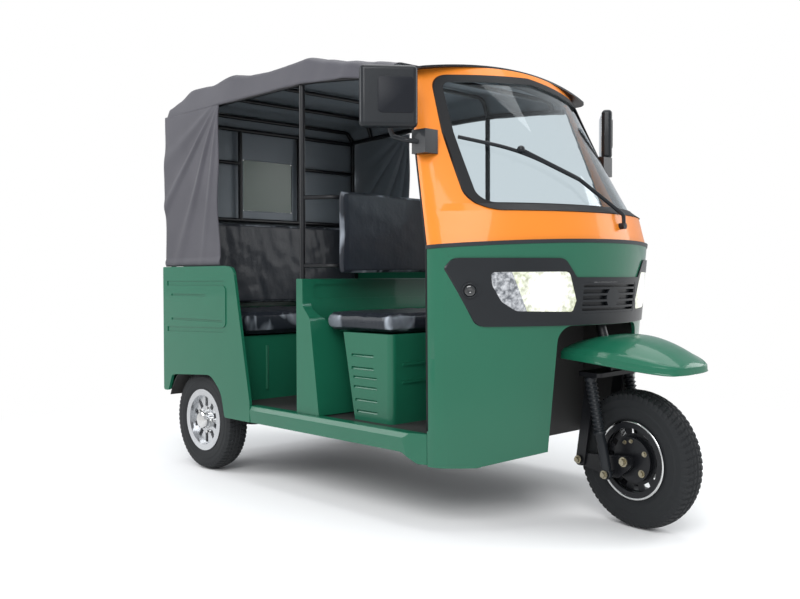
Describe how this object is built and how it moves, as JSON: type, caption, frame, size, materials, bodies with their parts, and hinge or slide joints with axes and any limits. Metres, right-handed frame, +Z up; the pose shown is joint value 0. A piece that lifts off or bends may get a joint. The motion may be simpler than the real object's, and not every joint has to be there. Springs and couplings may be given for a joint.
{
  "type": "auto rickshaw",
  "caption": "Three-wheeled auto rickshaw with an open-sided cab, wrap-round windscreen, canvas top on a tube frame, driver's seat, passenger bench and steered front wheel",
  "frame": {"origin": "on the ground, under the middle of the bounding box", "axes": "+X forward, +Y to the vehicle's left, +Z up"},
  "size_m": [2.6014, 1.5954, 1.8909],
  "materials": {
    "green_paint": "gloss",
    "orange_paint": "gloss",
    "black_frame": "satin",
    "canvas": "matte",
    "black_vinyl": "satin",
    "black_plastic": "satin",
    "seal_rubber": "matte",
    "clear_glass": "clear",
    "lamp_clear": "clear",
    "lamp_red": "gloss",
    "tyre_rubber": "matte",
    "silver_rim": "satin",
    "black_rim": "gloss",
    "plated_steel": "satin",
    "cast_metal": "matte"
  },
  "bodies": {
    "body": {"belt_seam": "black_plastic", "canopy_flap_left": "canvas", "canopy_flap_right": "canvas", "canopy_rear_wall": "canvas", "canopy_roof": "canvas", "chassis_frame": "black_frame", "cowl_lower": "green_paint", "cowl_upper": "orange_paint", "driver_backrest": "black_vinyl", "driver_cushion": "black_vinyl", "driver_seat_box": "green_paint", "engine_block": "cast_metal", "floor_pan": "black_frame", "grille": "black_plastic", "headlamp_left": "lamp_clear", "headlamp_mask": "black_plastic", "headlamp_right": "lamp_clear", "instrument_shelf": "black_plastic", "leaf_springs": "black_frame", "mirror_left": "black_plastic", "mirror_right": "black_plastic", "partition": "green_paint", "rear_axle": "black_frame", "rear_backrest": "black_vinyl", "rear_cushion": "black_vinyl", "rear_panel": "green_paint", "rear_seat_box": "green_paint", "rear_wheel_arches": "black_frame", "rear_window": "clear_glass", "roof_frame": "black_frame", "roof_visor": "black_plastic", "side_panel_left": "green_paint", "side_panel_right": "green_paint", "sill_left": "green_paint", "sill_right": "green_paint", "tail_lamps": "lamp_red", "wheel_housing": "black_frame", "windscreen_glass": "clear_glass", "windscreen_seal": "seal_rubber", "wiper": "black_plastic"},
    "steering": {"steering_fork": "black_frame", "front_mudguard": "green_paint", "front_shocks": "black_frame", "trailing_links": "black_frame", "front_axle": "plated_steel"},
    "front_wheel": {"front_tyre": "tyre_rubber", "front_rim": "black_rim"},
    "rear_wheel_left": {"rear_tyre_left": "tyre_rubber", "rear_rim_left": "silver_rim"},
    "rear_wheel_right": {"rear_tyre_right": "tyre_rubber", "rear_rim_right": "silver_rim"}
  },
  "joints": [
    {"name": "steering_turn", "type": "hinge", "parent": "body", "child": "steering", "pos_m": [0.9143, 0, 0.62], "axis": [-0.309, 0, 0.9511], "range_deg": [-27, 43]},
    {"name": "front_wheel_spin", "type": "hinge", "parent": "steering", "child": "front_wheel", "pos_m": [1.04419, -0.00164, 0.25796], "axis": [0.1324, 0.9903, 0.043], "continuous": true},
    {"name": "rear_wheel_left_spin", "type": "hinge", "parent": "body", "child": "rear_wheel_left", "pos_m": [-0.9987, 0.557, 0.242], "axis": [0, 1, 0], "continuous": true},
    {"name": "rear_wheel_right_spin", "type": "hinge", "parent": "body", "child": "rear_wheel_right", "pos_m": [-0.9987, -0.557, 0.242], "axis": [0, 1, 0], "continuous": true}
  ]
}
